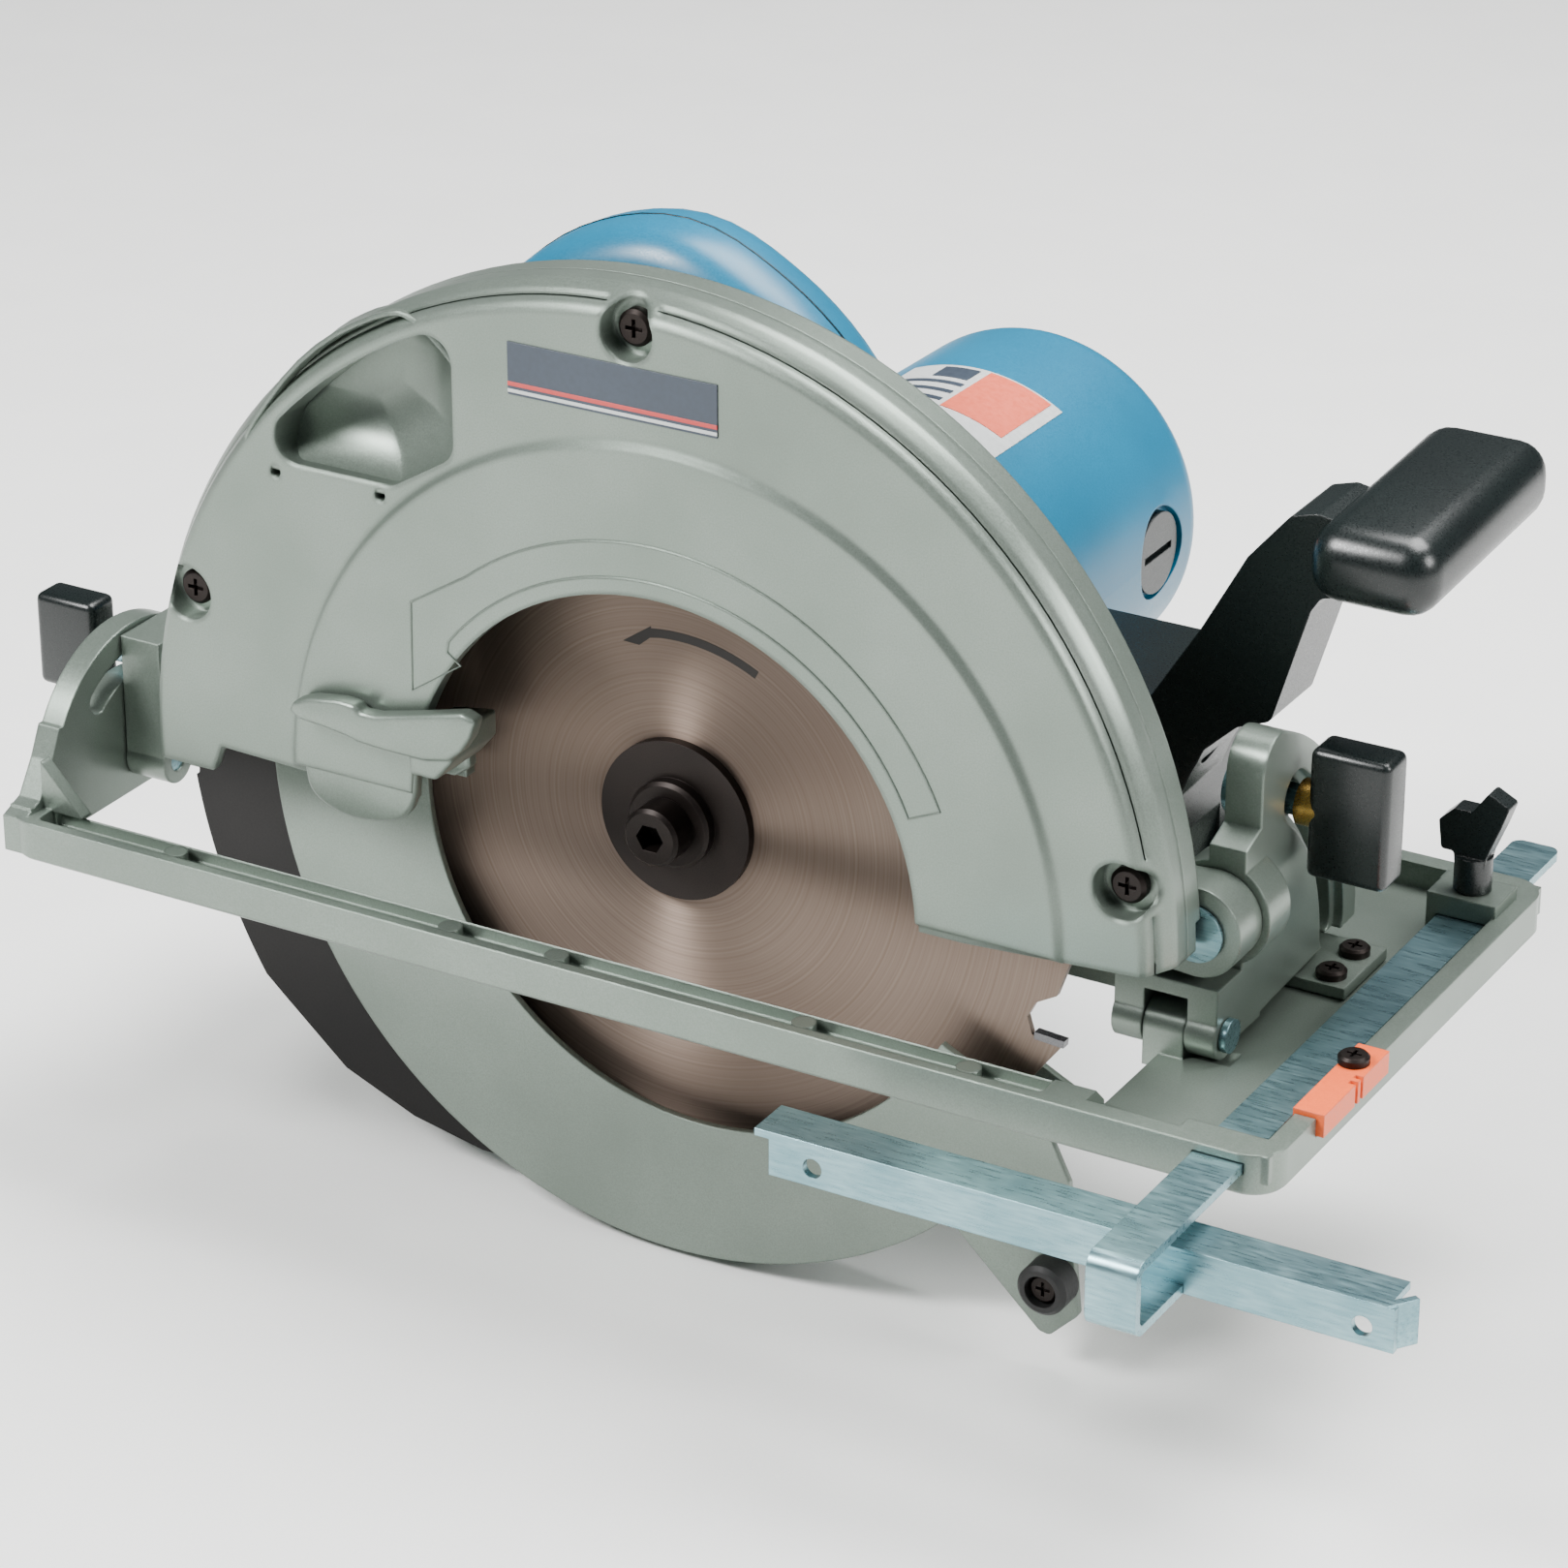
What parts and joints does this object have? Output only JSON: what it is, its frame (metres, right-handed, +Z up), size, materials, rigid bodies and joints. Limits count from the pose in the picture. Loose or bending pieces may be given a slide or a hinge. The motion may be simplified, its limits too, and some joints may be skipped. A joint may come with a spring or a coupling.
{
  "type": "circular saw",
  "caption": "Hand-held circular saw with cast blade case, motor on the far side, two handles, tilting sole plate and rip guide.",
  "frame": {"origin": "on the sole plate's underside, in the blade's plane, on the front bridge ahead of the blade slot", "axes": "+X forward along the cut, +Y from the blade towards the motor, +Z up"},
  "size_m": [0.4465, 0.286, 0.2725],
  "materials": {
    "silver_paint": "fine metallic paint on castings",
    "raw_casting": "as cast",
    "blue_plastic": "semi-gloss moulding",
    "black_plastic": "fine moulded grain",
    "rubber": "moulded",
    "orange_plastic": "moulded",
    "black_steel": "black oxide",
    "zinc_steel": "blue zinc plate",
    "blade_steel": "ground",
    "carbide": "ground carbide",
    "bright_steel": "ground",
    "lamination": "stacked sheet",
    "copper": "copper",
    "brass": "turned",
    "carbon": "pressed carbon"
  },
  "bodies": {
    "base": {"sole_plate": "silver_paint", "sight_guide": "orange_plastic", "front_bracket": "silver_paint", "plate_screws": "black_steel", "front_stud": "zinc_steel", "hinge_pins": "zinc_steel"},
    "rip_guide": {"guide_bar": "zinc_steel", "guide_fence": "zinc_steel"},
    "wing": {"wing_screw": "black_plastic"},
    "bevel_frame": {"front_tilt_plate": "silver_paint", "depth_guide": "silver_paint", "rear_stud": "zinc_steel", "pivot_pin": "zinc_steel"},
    "front_clamp": {"front_knob": "black_plastic", "front_nut": "brass"},
    "rear_clamp": {"rear_knob": "black_plastic"},
    "blade_unit": {"saw_blade": "blade_steel", "carbide_tips": "carbide", "outer_flange": "black_steel", "inner_flange": "black_steel", "blade_bolt": "black_steel", "spindle": "bright_steel", "drive_gear": "bright_steel"},
    "armature": {"armature_shaft": "bright_steel", "armature_core": "lamination", "commutator": "copper", "cooling_fan": "black_plastic"},
    "guard": {"lower_guard": "silver_paint", "guard_lever": "silver_paint", "guard_bumper": "rubber", "guard_screws": "black_steel"},
    "trigger_unit": {"trigger": "black_plastic"},
    "lock_off": {"lock_button": "black_plastic"},
    "spindle_lock": {"shaft_lock": "zinc_steel"},
    "depth_clamp": {"depth_lever": "black_plastic"},
    "saw_head": {"blade_case": "silver_paint", "blade_case_cover": "silver_paint", "gear_cover": "raw_casting", "motor_housing": "blue_plastic", "handle_near_half": "blue_plastic", "handle_far_half": "blue_plastic", "front_handle_arm": "black_plastic", "front_grip": "black_plastic", "brush_caps": "black_plastic", "switch_body": "black_plastic", "cord_gland": "rubber", "riving_knife": "black_steel", "case_screws": "black_steel", "handle_screws": "black_steel", "socket_bolts": "black_steel", "guard_ring": "zinc_steel", "guard_spring": "zinc_steel", "spindle_front_bearing": "bright_steel", "spindle_rear_bearing": "bright_steel", "armature_front_bearing": "bright_steel", "armature_rear_bearing": "bright_steel", "stator_core": "lamination", "field_coils": "copper", "brush_holders": "brass", "carbon_brushes": "carbon"}
  },
  "joints": [
    {"name": "bevel_tilt", "type": "hinge", "parent": "base", "child": "bevel_frame", "pos_m": [-0.16, 0, 0.0105], "axis": [1, 0, 0], "range_deg": [0, 45]},
    {"name": "depth_swing", "type": "hinge", "parent": "bevel_frame", "child": "saw_head", "pos_m": [-0.012, 0, 0.0385], "axis": [0, 1, 0], "range_deg": [0, 35]},
    {"name": "guard_turn", "type": "hinge", "parent": "saw_head", "child": "guard", "pos_m": [-0.16, 0, 0.0325], "axis": [0, 1, 0], "range_deg": [0, 105], "stiffness_Nm_per_rad": 0.25, "springref_deg": -91.67},
    {"name": "blade_spin", "type": "hinge", "parent": "saw_head", "child": "blade_unit", "pos_m": [-0.16, 0, 0.0325], "axis": [0, 1, 0], "continuous": true},
    {"name": "armature_spin", "type": "hinge", "parent": "saw_head", "child": "armature", "pos_m": [-0.1478, 0, 0.06316], "axis": [0, 1, 0], "continuous": true},
    {"name": "trigger_pull", "type": "hinge", "parent": "saw_head", "child": "trigger_unit", "pos_m": [-0.183, 0.039, 0.1485], "axis": [0, 1, 0], "range_deg": [0, 7], "stiffness_Nm_per_rad": 1, "springref_deg": -5.73},
    {"name": "lock_off_push", "type": "slide", "parent": "saw_head", "child": "lock_off", "axis": [0, -1, 0], "range_m": [0, 0.0022], "stiffness_N_per_m": 300, "springref_m": -0.002},
    {"name": "spindle_lock_push", "type": "slide", "parent": "saw_head", "child": "spindle_lock", "axis": [-1, 0, 0], "range_m": [0, 0.004], "stiffness_N_per_m": 400, "springref_m": -0.002},
    {"name": "depth_clamp_turn", "type": "hinge", "parent": "saw_head", "child": "depth_clamp", "pos_m": [-0.21691, 0.025, 0.03242], "axis": [0, 1, 0], "range_deg": [-25, 0]},
    {"name": "front_clamp_turn", "type": "hinge", "parent": "base", "child": "front_clamp", "pos_m": [0.005, 0.03953, 0.05761], "axis": [1, 0, 0], "range_deg": [0, 90]},
    {"name": "rear_clamp_turn", "type": "hinge", "parent": "bevel_frame", "child": "rear_clamp", "pos_m": [-0.35, 0.00469, 0.03709], "axis": [1, 0, 0], "range_deg": [-90, 0]},
    {"name": "rip_guide_slide", "type": "slide", "parent": "base", "child": "rip_guide", "axis": [0, 1, 0], "range_m": [-0.12, 0.014]},
    {"name": "wing_turn", "type": "hinge", "parent": "base", "child": "wing", "pos_m": [0.0185, 0.0965, 0.0205], "axis": [0, 0, 1], "range_deg": [-90, 90]}
  ],
  "couplings": [
    {"joint": "armature_spin", "follows": "blade_spin", "ratio": -4.5}
  ]
}
